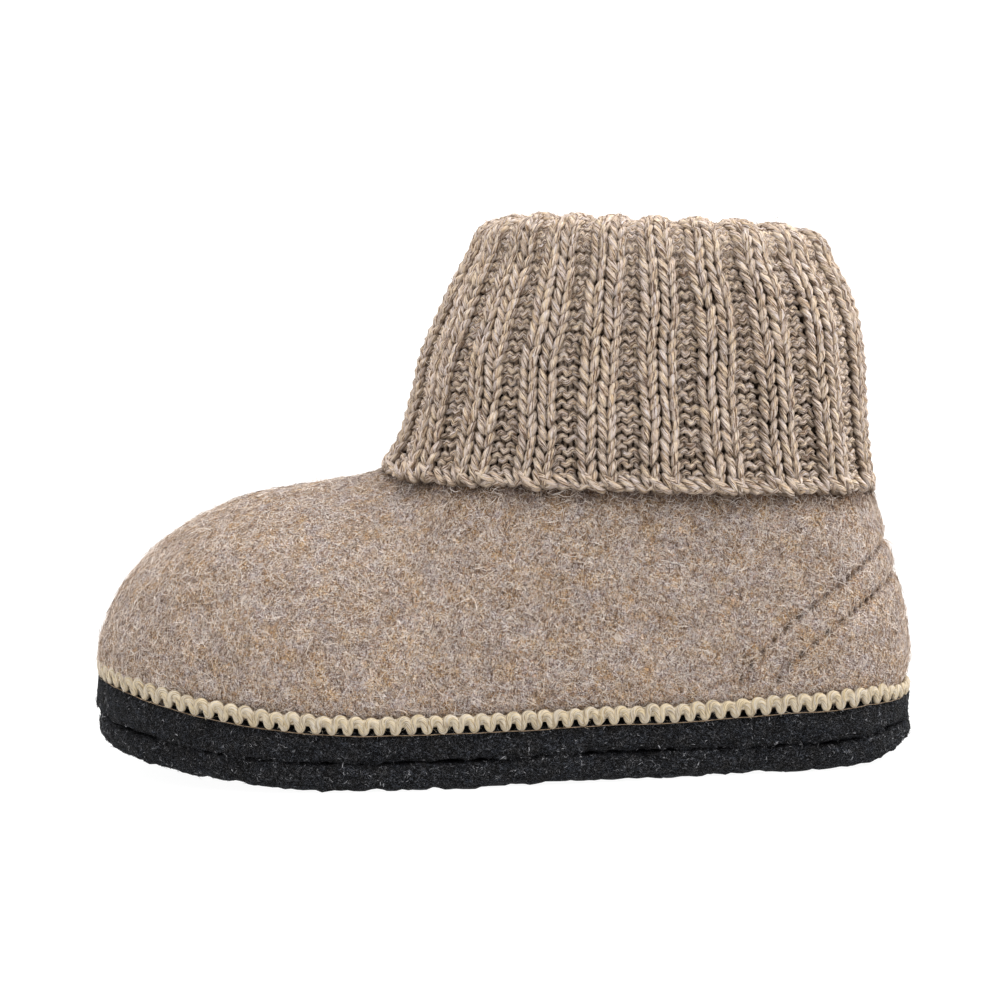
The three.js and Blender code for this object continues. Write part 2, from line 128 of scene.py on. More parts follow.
class Value:
    """A number that changes over a surface; sums on it add Math nodes."""

    def __init__(self, socket):
        self.socket = socket

    def maths(self, operation, *terms, clamp=False):
        tree = self.socket.id_data
        node = tree.nodes.new("ShaderNodeMath")
        node.operation = operation
        node.use_clamp = clamp
        for slot, term in zip(node.inputs, terms):
            if isinstance(term, Value):
                tree.links.new(term.socket, slot)
            else:
                slot.default_value = term
        return Value(node.outputs[0])

    def __add__(self, other):
        return self.maths("ADD", self, other)

    def __sub__(self, other):
        return self.maths("SUBTRACT", self, other)

    def __mul__(self, other):
        return self.maths("MULTIPLY", self, other)

    def __truediv__(self, other):
        return self.maths("DIVIDE", self, other)

    def __abs__(self):
        return self.maths("ABSOLUTE", self)

    def between(self, low, high):
        """0 below low, 1 above high, and straight between them."""
        return self.maths("DIVIDE", self - low, high - low, clamp=True)

    def line(self, half):
        """1 where a noise crosses its middle value, which draws thin winding fibres, and 0 beside them."""
        return self.maths("SUBTRACT", 2, abs(self - 0.5) * (2 / half), clamp=True)

    def sine(self):
        return self.maths("SINE", self)


class Finish:
    """A material with one main shader, built up from nodes."""

    def __init__(self, name, **constants):
        self.material = bpy.data.materials.new(name)
        self.material.use_nodes = True
        self.tree = self.material.node_tree
        self.shader = self.tree.nodes["Principled BSDF"]
        for key, value in constants.items():
            self.shader.inputs[key.replace("_", " ")].default_value = value

    def node(self, kind, settings, sockets, out=0):
        """Any node but Math: its settings, what goes into its sockets, and the output that is wanted."""
        node = self.tree.nodes.new(kind)
        for key, value in settings.items():
            setattr(node, key, value)
        for key, value in sockets.items():
            if isinstance(value, Value):
                self.tree.links.new(value.socket, node.inputs[key])
            else:
                node.inputs[key].default_value = value
        return Value(node.outputs[out])

    def place(self):
        return self.node("ShaderNodeTexCoord", {}, {}, "Object")

    def attribute(self, name):
        return self.node("ShaderNodeAttribute", {"attribute_name": name}, {}, "Fac")

    def noise(self, vector, scale, detail=2.0, rough=0.5, bend=0.0):
        sockets = {"Vector": vector, "Scale": scale, "Detail": detail}
        return self.node("ShaderNodeTexNoise", {}, {**sockets, "Roughness": rough, "Distortion": bend})

    def mixed(self, share, first, second, way="MIX"):
        first = (*first, 1) if isinstance(first, tuple) else first
        second = (*second, 1) if isinstance(second, tuple) else second
        settings = {"data_type": "RGBA", "blend_type": way}
        return self.node("ShaderNodeMix", settings, {0: share, 6: first, 7: second}, 2)

    def bump(self, height, distance):
        return self.node("ShaderNodeBump", {}, {"Height": height, "Distance": distance, "Strength": 1.0})

    def feed(self, socket, value):
        self.tree.links.new(value.socket, self.shader.inputs[socket])

    def on(self, piece):
        piece.data.materials.append(self.material)


def felt_finish(name, tones, fibre, spread, relief, tints, thread_and_painted_shade=None):
    """Felted wool: winding fibres, pale and dark, lying every way over a mottled and cloudy ground, cooler
    and warmer by turns. A named attribute darkens it with painted shade, and with dark thread along
    stitches."""
    ground, patch, pale, dark = tones
    long, wide = fibre
    felt = Finish(name, Roughness=0.95, Specular_IOR_Level=0.15)
    place = felt.place()
    ways = []
    for turn, _, _, _ in FIBRES:
        sockets = {"Vector": place, "Rotation": turn, "Scale": (long, wide, wide)}
        turned = felt.node("ShaderNodeMapping", {"vector_type": "TEXTURE"}, sockets)
        ways.append(felt.noise(turned, 1.0, 1, 0.5, 1.3))
    mottle = felt.noise(place, 0.18 / wide, 5, 0.75).between(0.42, 0.58)
    clouds = felt.noise(place, 0.055 / wide, 3, 0.65).between(0.34, 0.66)
    warm = felt.noise(place, 0.2 / wide, 6, 0.85).between(0.4, 0.6)
    specks = felt.noise(place, 1.5 / wide, 2, 0.6, 0.6)

    def laid(tone, number):
        """A tone with one set of fibres laid over it."""
        _, half, share, shade = FIBRES[number]
        return felt.mixed(ways[number].line(half * spread) * share, tone, pale if shade == "pale" else dark)

    def tinted(tone, share):
        return felt.mixed(share, tone, felt.mixed(warm, *tints), "MULTIPLY")

    tone = felt.mixed(mottle, ground, patch)
    tone = felt.mixed(1.0, tone, felt.mixed(clouds, *CLOUD_TINTS), "MULTIPLY")
    tone = tinted(laid(laid(tone, 0), 1), 1.0)
    tone = laid(tone, 2)
    tone = felt.mixed(specks.between(0.565, 0.605) * 0.72, tone, dark)
    tone = tinted(laid(laid(tone, 3), 4), 0.35)
    # Painted shade: where the attribute says, the felt's colour is darkened, under the cuff's hem and along
    # the heel's stitch rows with their dark thread.
    if thread_and_painted_shade:
        dimmed = felt.mixed(1.0, tone, THREAD_AND_SHADE_TINT, "MULTIPLY")
        tone = felt.mixed(felt.attribute(thread_and_painted_shade), tone, dimmed)
    felt.feed("Base Color", tone)
    height = ways[0].line(0.1) + ways[2].line(0.1) * 0.8 + ways[3].line(0.1) - specks * 1.5
    felt.feed("Normal", felt.bump(height, relief))
    return felt


def hair_finish(name, first, second, scale, span, detail=2, **constants):
    """Loose wool that runs from one tone to another, in patches as fine as the scale."""
    hair = Finish(name, **constants)
    share = hair.noise(hair.place(), scale, detail).between(*span)
    hair.feed("Base Color", hair.mixed(share, first, second))
    return hair


def piece_of(name, points, faces, around=None):
    """A new piece from arrays of points and four-cornered faces, with a UV map where one is given."""
    mesh = bpy.data.meshes.new(name)
    mesh.vertices.add(len(points))
    set_rows(mesh.vertices, "co", points)
    mesh.loops.add(faces.size)
    mesh.loops.foreach_set("vertex_index", faces.astype(np.int32).ravel())
    mesh.polygons.add(len(faces))
    mesh.polygons.foreach_set("loop_start", np.arange(0, faces.size, 4, dtype=np.int32))
    mesh.polygons.foreach_set("use_smooth", np.ones(len(faces), dtype=bool))
    if around is not None:
        set_rows(mesh.uv_layers.new(name="yarn").data, "uv", around)
    mesh.update(calc_edges=True)
    mesh.validate()
    piece = bpy.data.objects.new(name, mesh)
    bpy.context.scene.collection.objects.link(piece)
    return piece


def hairs_on(name, places, facing, draw, length, width, lift, curl, runs=2):
    """Wool hairs as narrow ribbons of a few runs each, lying over a surface and curling off it."""
    count = len(places)
    heading = draw.normal(size=(count, 3))
    heading -= facing * np.sum(heading * facing, axis=1, keepdims=True)
    heading /= np.linalg.norm(heading, axis=1, keepdims=True)
    sideways = np.cross(facing, heading)
    long = (length[0] + (length[1] - length[0]) * draw.random(count) ** 1.8)[:, None]
    turn = draw.normal(0, curl, count)[:, None]
    rise = (lift * draw.random(count) ** 2.2)[:, None]
    wide = (width * (0.6 + 0.8 * draw.random(count)))[:, None]
    roll = draw.random(count)[:, None] * math.pi
    at = places + facing * HAIR_START
    lines = []
    for k in range(runs + 1):
        bent = turn * (k / runs)
        going = heading * np.cos(bent) + sideways * np.sin(bent)
        going = going + facing * rise * (1 - HAIR_DROP * k / runs)
        across = np.cross(facing, going)
        across /= np.linalg.norm(across, axis=1, keepdims=True)
        across = across * np.cos(roll) + facing * np.sin(roll)
        half = wide * (0.5 if k < runs else 0.2)
        lines.append((at - across * half, at + across * half))
        at = at + going * long / runs
    points = np.stack([side for line in lines for side in line], axis=1)
    corners = np.array([(2 * k, 2 * k + 1, 2 * k + 3, 2 * k + 2) for k in range(runs)])
    faces = np.arange(count)[:, None, None] * (2 * runs + 2) + corners[None]
    return piece_of(name, points.reshape(-1, 3), faces.reshape(-1, 4))


def strewn(piece, count, draw, kept):
    """Places spread by area over a piece, as thickly as a rule says, with the way that each faces."""
    mesh = piece.data
    mesh.calc_loop_triangles()
    corners = rows_of(mesh.loop_triangles, "vertices", np.int32)
    faces = rows_of(mesh.vertices, "co")[corners].astype(float)
    normal = np.cross(faces[:, 1] - faces[:, 0], faces[:, 2] - faces[:, 0])
    area = np.linalg.norm(normal, axis=1)
    normal /= np.maximum(area, 1e-12)[:, None]
    weight = area * kept(faces.mean(axis=1), normal)
    picked = draw.choice(len(faces), size=count, p=weight / weight.sum())
    one, two = np.sqrt(draw.random(count))[:, None], draw.random(count)[:, None]
    a, b, c = faces[picked, 0], faces[picked, 1], faces[picked, 2]
    return a * (1 - one) + b * one * (1 - two) + c * one * two, normal[picked]


def ramp(value, start, run):
    """0 up to a start, and then straight to 1 over a run."""
    return np.clip((value - start) / run, 0, 1)


def spring(x):
    """Lift of the shoe along its length, in millimetres."""
    lift, start, run = SPRING["toe"]
    toe = lift * (np.maximum(start - x, 0) / run) ** 2
    lift, start, run = SPRING["heel"]
    heel = lift * (np.maximum(x - start, 0) / run) ** 2
    lift, start, run = SPRING["arch"]
    return toe + heel + lift * np.sin(math.pi * ramp(x, start, run)) ** 2


def rim_rise(x):
    """How much higher the sole's upper edge stands towards the toe and the heel, in millimetres."""
    rise, start, run = RIM["toe_rise"]
    toe = rise * ramp(-x, -start, run)
    rise, start, run = RIM["heel_rise"]
    heel = rise * ramp(x, start, run)
    drop, start, run = RIM["back_drop"]
    return toe + heel - drop * ramp(x, start, run)


def sole_side(centre, normal):
    """The upright faces of the sole, clear of the floor."""
    return (np.abs(normal[:, 2]) < 0.93) & (centre[:, 2] > 0.003)


sole_draw = np.random.default_rng(11)
SOLE_TONES = ((0.0012, 0.0012, 0.0016), (0.0005, 0.0005, 0.0007),
              (0.163, 0.169, 0.186), (0.0002, 0.0002, 0.0003))
sole_felt = felt_finish("sole_felt_charcoal", SOLE_TONES, fibre=(0.0024, 0.001), spread=0.36, relief=0.0008,
                        tints=((0.9, 1.0, 1.16), (1.1, 1.0, 0.88)))
sole_wisps = hair_finish("sole_felt_wisps", (0.006, 0.006, 0.007), (0.46, 0.46, 0.48), scale=500,
                         span=(0.48, 0.68), Roughness=0.9, Specular_IOR_Level=0.2)
for layer in ("outsole", "midsole"):
    felt_layer = copy_of(layer, f"{layer}_felt")
    worked(felt_layer, "REMESH", mode="VOXEL", voxel_size=SOLE_VOXEL, use_smooth_shade=True)
    worked(felt_layer, "SMOOTH", factor=0.5, iterations=3)
    for grain, depth in SOLE_LUMPS:
        lumps(felt_layer, grain, depth)
    points = rows_of(felt_layer.data.vertices, "co").astype(float)
    normals = rows_of(felt_layer.data.vertex_normals, "vector").astype(float)
    x, y = points[:, 0] * 1000, points[:, 1] * 1000
    height = points[:, 2] * 1000 - spring(x)
    side = np.hypot(normals[:, 0], normals[:, 1])
    upright = ramp(side, 0, 0.3)
    wave = sum(np.sin(x * along + y * across + start) for along, across, start in SOLE_WAVES)
    lip = upright * np.exp(-(((height - SEAM) / LIP_HALF) ** 2))
    points[:, :2] += normals[:, :2] * (lip * (LIP_OUT[0] + LIP_OUT[1] * wave))[:, None] / 1000
    points[:, 2] += lip * np.sign(SEAM - height) * (LIP_CLOSE[0] + LIP_CLOSE[1] * wave) / 1000
    shoulder = upright * np.exp(-(((height - JOIN + SHOULDER_DROP) / SHOULDER_HALF) ** 2))
    points[:, :2] += normals[:, :2] * (SHOULDER_OUT * shoulder)[:, None] / 1000
    tread = ramp(side, 0, 0.15) * (1 - ramp(height, 0, TREAD_HIGH))
    points[:, 2] += tread * np.maximum(wave, 0) * TREAD_LIFT / 1000
    rim = upright * ramp(height - SEAM, RIM_START, RIM_HIGH)
    points[:, 2] += rim * (RIM_LIFT + np.maximum(rim_rise(x), 0)) / 1000
    points[:, 2] = np.maximum(points[:, 2], 0)
    set_rows(felt_layer.data.vertices, "co", points)
    felt_layer.data.update()
    sole_felt.on(felt_layer)
    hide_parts(layer)
    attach(felt_layer, "root")
    places, facing = strewn(felt_layer, SOLE_WISPS, sole_draw, sole_side)
    wisps = hairs_on(f"{layer}_wisps", places, facing, sole_draw, WISP_LONG, WISP_WIDE, lift=0.5, curl=1.6)
    sole_wisps.on(wisps)
    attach(wisps, "root")


# Insole: a loose sheet of beige wool felt, cut a little smaller than the sole.
# It lies on the sole inside the upper and shows only down the shaft.
INSOLE_TONES = ((0.44, 0.345, 0.28), (0.38, 0.27, 0.19), (0.62, 0.53, 0.46), (0.17, 0.11, 0.07))
insole_felt = felt_finish("insole_felt_beige", INSOLE_TONES, fibre=(0.006, 0.0015), spread=1.0,
                          relief=0.0007, tints=((0.96, 1.0, 1.06), (1.04, 0.95, 0.8)))
insole = copy_of("insole", "insole_felt")
worked(insole, "REMESH", mode="VOXEL", voxel_size=0.003, use_smooth_shade=True)
worked(insole, "SMOOTH", factor=0.5, iterations=3)
lumps(insole, grain=0.007, depth=0.0004)
insole_felt.on(insole)
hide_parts("insole")
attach(insole, "root")


# Upper: one shell of thick beige wool, felted on a last and stitched to the edge of the sole.
# Brown, dark and ivory hairs are mixed in, and loose ones stand off it all over.
SOLE_LENGTH = 250
TOE_TIP, HEEL_BACK = -125, 125  # ends of the sole in x
SECTIONS = {  # distance behind the toe, middle line, half widths of the sole on either side
    "at": (0, 45, 70, 95, 125, 155, 185, 213, 250),
    "axis": (7, 2, 0.2, -0.8, -1.5, -2, -2, -1.5, -1),
    "lateral": (46.5, 47.6, 48.4, 48.2, 45.8, 42.6, 39.2, 37.6, 36.6),
    "medial": (45.5, 46.8, 48.9, 47.4, 44, 41.6, 38.6, 37, 36),
}
CORE_ENDS, CORE_HIGH = (-70, 90), 34.0  # a line inside the shoe, which its outer face looks away from
COUNTER_ROWS = ((64, 71.5), (75, 60))  # where a row of stitches leaves the sole, and its height at the back
ROW_FOOT, ROW_POWER = 22, 0.64  # the height a row starts at, and how it bends
ROW_CLEAR, ROW_FADE = 4, 3  # how far over the seam a row starts to show, and over what height
STITCH = 5.0
GROOVE_HALF, GROOVE_DEEP = 1.6, (0.3, 0.9)  # the groove along a row, and how much it deepens to the back
DIMPLE_HALF, DIMPLE_DEEP = 0.9, 1.1  # the dimple at a stitch
THREAD_AND_SHADE_HALF, THREAD_AND_SHADE_DIM = 0.7, (0.24, 0.66)  # how wide and how dim the felt is along a row, and more at a stitch: dark thread, with painted shade in the groove and dimples
TOE_FULL, HEEL_FULL, FULL_START, FULL_RUN = 1.1, 0.6, 95, 22  # how the felt bulges at both ends
FULL_TOP, FULL_FADE = 54, 22  # and the height that the bulge ends at
TUCK, TUCK_TOP, TUCK_HIGH = 1.4, 2, 1.5  # how the felt tucks in behind the edging
UPPER_LUMPS = ((0.022, 0.0010), (0.005, 0.0005))  # size and depth of the felt's lumps
CUFF_TILT, CUFF_MIDDLE = 0.05, 40  # the hem's fall towards the heel, about this x
HEM_COVER, HEM_FRONT = 86, -36  # the cuff covers the felt above this height and behind this x
HAIR_CLEAR = 3.6  # hair starts this far over the seam
TOE_HAIR, TOE_HAIR_START, TOE_HAIR_RUN = 0.7, -75, 30  # more hair towards the toe
UPPER_HAIRS = (  # name, number, tones at either end, width and lift
    ("ivory", 22000, (0.79, 0.705, 0.635), (0.58, 0.465, 0.38), 0.00012, 0.3),
    ("brown", 8500, (0.44, 0.29, 0.185), (0.13, 0.082, 0.053), 0.00011, 0.25),
)
UPPER_HAIR_LONG = (0.0015, 0.0068)


def through(table, key, column):
    """Smooth curve through one column of a table that never overshoots its rows."""
    at = np.array(table[key], float)
    values = np.array(table[column], float)
    slopes = np.diff(values) / np.diff(at)
    before = np.r_[slopes[0], slopes]
    after = np.r_[slopes, slopes[-1]]
    same_way = before * after > 0
    lean = np.where(same_way, 2 * before * after / np.where(same_way, before + after, 1), 0)

    def curve(place):
        i = np.clip(np.searchsorted(at, place) - 1, 0, len(at) - 2)
        width = at[i + 1] - at[i]
        t = np.clip((place - at[i]) / width, 0, 1)
        swing = t * (1 - t) * width * ((1 - t) * lean[i] - t * lean[i + 1])
        return values[i] + (values[i + 1] - values[i]) * t * t * (3 - 2 * t) + swing

    return curve


axis_at = through(SECTIONS, "at", "axis")


def outer_felt(place, normal):
    """Whether points of the upper lie on its outer face."""
    x = place[:, 0]
    inner = np.stack([np.clip(x, *CORE_ENDS), axis_at(x - TOE_TIP), np.full(len(x), CORE_HIGH)], axis=1)
    return np.sum(normal * (place - inner), axis=1) > 0


def counter_row(row, x):
    """Height of a row of stitches along the heel, its slope, and the share of the row run so far."""
    start, height = row
    share = np.clip((x - start) / (HEEL_BACK - start), 0.02, 1)
    slope = (height - ROW_FOOT) * ROW_POWER * share ** (ROW_POWER - 1) / (HEEL_BACK - start)
    return ROW_FOOT + (height - ROW_FOOT) * share ** ROW_POWER, slope, share


UPPER_TONES = ((0.622, 0.471, 0.391), (0.48, 0.336, 0.241), (0.855, 0.763, 0.704), (0.122, 0.066, 0.041))
felt_beige = felt_finish("upper_felt_beige", UPPER_TONES, fibre=(0.0048, 0.0012), spread=1.0, relief=0.0006,
                         tints=((0.968, 1.0, 1.1), (1.057, 0.924, 0.675)), thread_and_painted_shade="thread_and_painted_shade")
upper = copy_of("upper", "upper_felt")
worked(upper, "SUBSURF", levels=2, render_levels=2)

# The heel counter's two rows of stitches are pulled into the felt, on a mesh made finer beside them.
chosen(upper)
for reach in (6, 3):
    polygons = upper.data.polygons
    x, y, z = rows_of(polygons, "center").T * 1000
    beside = np.zeros(len(x), dtype=bool)
    for row in COUNTER_ROWS:
        line, slope, share = counter_row(row, x)
        beside |= (x > row[0] - reach) & (np.abs(line - z) / np.hypot(1, slope) < reach)
    bpy.ops.object.mode_set(mode="EDIT")
    bpy.ops.mesh.select_mode(type="FACE")
    bpy.ops.mesh.select_all(action="DESELECT")
    bpy.ops.object.mode_set(mode="OBJECT")
    polygons.foreach_set("select", beside)
    bpy.ops.object.mode_set(mode="EDIT")
    bpy.ops.mesh.subdivide(number_cuts=1)
    bpy.ops.object.mode_set(mode="OBJECT")
places = rows_of(upper.data.vertices, "co").astype(float) * 1000
normals = rows_of(upper.data.vertex_normals, "vector").astype(float)
x, y, z = places.T
outside = outer_felt(places, normals)
settle = ramp(z - JOIN - ROW_CLEAR, spring(x), ROW_FADE)
push, row_thread_and_shade = np.zeros(len(x)), np.zeros(len(x))
for row in COUNTER_ROWS:
    line, slope, share = counter_row(row, x)
    across = (line - z) / np.hypot(1, slope)
    sewn = np.hypot(x - row[0], line - ROW_FOOT) + np.abs(y) * 0.9 * ramp(x, 100, 20)
    dot = np.exp(-((((sewn / STITCH) % 1 - 0.5) * STITCH) ** 2))
    shown = ramp(x - row[0], -2, 4) * settle
    push -= shown * (GROOVE_DEEP[0] + GROOVE_DEEP[1] * share ** 2) * np.exp(-((across / GROOVE_HALF) ** 2))
    push -= shown * DIMPLE_DEEP * dot * np.exp(-((across / DIMPLE_HALF) ** 2))
    # Along a row the felt's colour is darkened: the dark thread, and painted shade in the groove and
    # dimples.
    row_thread_and_shade += shown * (THREAD_AND_SHADE_DIM[0] + THREAD_AND_SHADE_DIM[1] * dot) * np.exp(-((across / THREAD_AND_SHADE_HALF) ** 2))
fuller = TOE_FULL * ramp(-x, FULL_START, FULL_RUN) + HEEL_FULL * ramp(x, FULL_START, FULL_RUN)
push += fuller * ramp(FULL_TOP - z, 0, FULL_FADE)
push -= TUCK * ramp(JOIN + TUCK_TOP + rim_rise(x) + spring(x) - z, 0, TUCK_HIGH)
places += normals * np.where(outside, push, 0)[:, None]
set_rows(upper.data.vertices, "co", places / 1000)
set_rows(upper.data.attributes.new("thread_and_painted_shade", "FLOAT", "POINT").data, "value", np.where(outside, row_thread_and_shade, 0))
upper.data.update()
for grain, depth in UPPER_LUMPS:
    lumps(upper, grain, depth)
chosen(upper)
bpy.ops.object.shade_smooth()
felt_beige.on(upper)
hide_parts("upper")
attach(upper, "root")


def shown_felt(centre, normal):
    """How thickly hair grows: on the outer face, between the edging and the hem, and more at the toe."""
    x, y, z = (centre * 1000).T
    under_cuff = (z > HEM_COVER - CUFF_TILT * (x - CUFF_MIDDLE)) & (x > HEM_FRONT)
    over_edging = z > JOIN + HAIR_CLEAR + spring(x) + rim_rise(x)
    shown = outer_felt(centre * 1000, normal) & ~under_cuff & over_edging
    return shown * (1 + TOE_HAIR * ramp(TOE_HAIR_START - x, 0, TOE_HAIR_RUN))


upper_draw = np.random.default_rng(23)
for tone, count, light, deep, width, lift in UPPER_HAIRS:
    hair = hair_finish(f"wool_hair_{tone}", light, deep, scale=420, span=(0.36, 0.64),
                       Roughness=0.85, Specular_IOR_Level=0.2, Sheen_Weight=0.2)
    places, facing = strewn(upper, count, upper_draw, shown_felt)
    hairs = hairs_on(f"upper_hairs_{tone}", places, facing, upper_draw, UPPER_HAIR_LONG, width, lift,
                     curl=2.2, runs=3)
    hair.on(hairs)
    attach(hairs, "root")


# Edging: cream wool yarn looped over the seam between upper and sole by an overedge machine.
# Each arch meets the next in a point on the sole, where a fine thread locks the points in a line.
ARCHES, ARCH_STEPS, LINE_STEPS = 128, 20, 4  # arches round the sole, points in each, and points in a line
ARCH_LOW, ARCH_HIGH = 0.05, 3.85  # heights of an arch's ends and top over the seam
ARCH_RADIUS = (0.86, 0.46)  # of the yarn at an arch's ends, and how much more at its top
CORE_RADIUS, CORE_OUT, CORE_UP = 1.4, -1.05, 2.75  # the yarn that the arches are looped over
LOCK_RADIUS, LOCK_UP = 0.13, -0.7  # the thread that locks the points of the arches
HEEL_LOW, ENDS_IN = (0.5, 110, 13), (0.9, 95, 25)  # how much lower and further in, from where, over what run
EDGE_HAIRS, EDGE_HAIR_LONG, EDGE_HAIR_WIDE = 3600, (0.0008, 0.003), 0.00012
lateral_at = through(SECTIONS, "at", "lateral")
medial_at = through(SECTIONS, "at", "medial")


def bow(along, power):
    """The round of an end: 1 at its start, 0 at its tip."""
    return (1 - np.minimum(np.abs(along), 1) ** power) ** (1 / power)


def outline_side(at, side):
    """One half of the sole's outline, from the toe to the heel."""
    half = lateral_at(at) if side < 0 else medial_at(at)
    toe = bow(1 - np.minimum(at / 75, 1), 2.3)
    heel = bow(1 - np.minimum((SOLE_LENGTH - at) / 38, 1), 2.2)
    return np.stack([at - SOLE_LENGTH / 2, axis_at(at) + side * half * toe * heel], axis=1)


stations = SOLE_LENGTH * (1 - np.cos(np.linspace(0, math.pi, 1200))) / 2
outline = np.concatenate([outline_side(stations, -1), outline_side(stations[-2:0:-1], 1)])
outline = np.concatenate([outline, outline[:1]])
outline_run = np.r_[0, np.cumsum(np.linalg.norm(np.diff(outline, axis=0), axis=1))]
edge_length = outline_run[-1]


def edge_place(run, out, up):
    """A point beside the sole's edge: along it, out from it and up from the seam, and the way out there.
    The edging is lower behind the heel, and drawn in a little at both ends."""
    def at(where):
        where = where % edge_length
        return np.stack([np.interp(where, outline_run, outline[:, k]) for k in range(2)], axis=1)

    ahead = at(run + 0.8) - at(run - 0.8)
    ahead /= np.linalg.norm(ahead, axis=1, keepdims=True)
    outward = np.stack([ahead[:, 1], -ahead[:, 0]], axis=1)
    flat = at(run) + outward * out[:, None]
    x = flat[:, 0]
    low = 1 - HEEL_LOW[0] * ramp(x, *HEEL_LOW[1:])
    flat = flat - outward * (ENDS_IN[0] * ramp(np.abs(x), *ENDS_IN[1:]))[:, None]
    place = np.column_stack([flat, JOIN + up * low + spring(x) + rim_rise(x)])
    return place, np.column_stack([outward, np.zeros(len(run))])


def tubes(name, runs, sides):
    """Round yarn along closed runs, each with its places, the way its cloth faces, its radius, and how high
    it stands over the middle of the cloth, in mm, shifted in places only to set painted shade. The crest
    attribute keeps the height of each point, which the yarn's finish turns into painted shade where it is
    low."""
    points, faces, maps, crests, used = [], [], [], [], 0
    turns = 2 * math.pi * (np.arange(sides) + 0.5) / sides
    for number, (places, facing, radius, stand) in enumerate(runs):
        count = len(places)
        radius = np.broadcast_to(radius, count)[:, None]
        going = np.roll(places, -1, axis=0) - np.roll(places, 1, axis=0)
        going /= np.linalg.norm(going, axis=1, keepdims=True)
        across = np.cross(facing, going)
        across /= np.linalg.norm(across, axis=1, keepdims=True)
        outward = np.cross(going, across)
        ring = -np.cos(turns)[None, :, None] * outward[:, None]
        ring = ring + np.sin(turns)[None, :, None] * across[:, None]
        points.append((places[:, None] + ring * radius[:, :, None]).reshape(-1, 3))
        lift = np.sum(ring * facing[:, None], axis=2)
        crests.append((np.broadcast_to(stand, count)[:, None] + radius * lift).ravel())
        i, j = np.meshgrid(np.arange(count), np.arange(sides), indexing="ij")
        i2, j2 = (i + 1) % count, (j + 1) % sides
        corners = np.stack([i * sides + j, i2 * sides + j, i2 * sides + j2, i * sides + j2], axis=-1)
        faces.append(corners.reshape(-1, 4) + used)
        used += count * sides
        steps = np.linalg.norm(np.roll(places, -1, axis=0) - places, axis=1)
        length = np.r_[0, np.cumsum(steps)] / 1000
        u = np.stack([length[i], length[i + 1], length[i + 1], length[i]], axis=-1)
        v = np.stack([j, j, j + 1, j + 1], axis=-1) / sides + 3 * number
        maps.append(np.stack([u, v], axis=-1).reshape(-1, 2))
    yarn = piece_of(name, np.concatenate(points) / 1000, np.concatenate(faces), np.concatenate(maps))
    set_rows(yarn.data.attributes.new("crest", "FLOAT", "POINT").data, "value", np.concatenate(crests))
    return yarn


def yarn_finish(name, tones, twist, strands, relief, gap, crests):
    """Spun wool: fibres of three tones that wind round the yarn, two plies, a matted bloom, and painted
    shade towards a dark gap tone where the yarn lies low.
    """
    wool = Finish(name, Roughness=0.9, Sheen_Weight=0.08, Sheen_Roughness=0.5, Specular_IOR_Level=0.2)
    chart = wool.node("ShaderNodeUVMap", {"uv_map": "yarn"}, {})
    along, around = (wool.node("ShaderNodeSeparateXYZ", {}, {0: chart}, k) for k in range(2))
    wound = around + along / twist
    fibre = wool.node("ShaderNodeCombineXYZ", {}, {0: along * 300, 1: wound * strands, 2: 0.0})
    streak = wool.noise(fibre, 1.0, 3, 0.65)
    other = wool.noise(fibre, 0.77, 3, 0.65, 0.4)
    slow = wool.noise(fibre, 0.3, 2, 0.5)
    tint = wool.noise(fibre, 0.55, 3, 0.7, 0.5).between(0.4, 0.6)
    bloom = wool.noise(wool.place(), 1800, 2, 0.6)
    pale, mid, dark = tones
    tone = wool.mixed(slow.between(0.35, 0.65) * 0.6, mid, pale)
    tone = wool.mixed(streak.between(0.5, 0.6), tone, pale)
    tone = wool.mixed(other.between(0.505, 0.58), tone, dark)
    tone = wool.mixed(bloom.between(0.55, 0.72) * 0.4, tone, pale)
    tone = wool.mixed(1.0, tone, wool.mixed(tint, (0.965, 1.0, 1.1), (1.035, 0.975, 0.8)), "MULTIPLY")
    # Painted shade: the colour runs to the gap tone where the crest attribute is low, between loops and down
    # the sides of the yarn.
    crest = wool.attribute("crest")
    tone = wool.mixed((crest + (bloom - 0.5) * 0.8).between(*crests), gap, tone)
    wool.feed("Base Color", tone)
    plies = abs((wound * (2 * math.pi)).sine())
    wool.feed("Normal", wool.bump(plies * 0.5 + streak - other * 0.6 + bloom * 0.3, relief))
    return wool


edge_draw = np.random.default_rng(5)
t = np.arange(ARCHES * ARCH_STEPS) / ARCH_STEPS
uneven = edge_draw.normal(size=(2, ARCHES))[:, t.astype(int)]
rise = 0.5 - 0.5 * np.cos(2 * math.pi * t)
lean = 0.057 * np.sin(4 * math.pi * t) - 0.08 * np.sin(2 * math.pi * t)
arch_run = (t + lean + 0.03 * uneven[0] * rise) * edge_length / ARCHES
arch_up = ARCH_LOW + (ARCH_HIGH - ARCH_LOW) * rise * (1 + 0.05 * uneven[1])
arch_out = -0.35 - 0.35 * rise + 0.3 * np.sin(math.pi * rise * 0.8)
arch_places, arch_facing = edge_place(arch_run, arch_out, arch_up)
line_run = np.arange(ARCHES * LINE_STEPS) / LINE_STEPS * edge_length / ARCHES
core_out, core_up = np.full(len(line_run), CORE_OUT), np.full(len(line_run), CORE_UP)
core_places, core_facing = edge_place(line_run, core_out, core_up)
edging = tubes("edge_yarn_arches", [
    (arch_places, arch_facing, ARCH_RADIUS[0] + ARCH_RADIUS[1] * rise, 0.0),
    (core_places, core_facing, CORE_RADIUS, -0.3),
], sides=8)
EDGING_TONES = ((0.665, 0.578, 0.452), (0.54, 0.457, 0.34), (0.31, 0.24, 0.16))
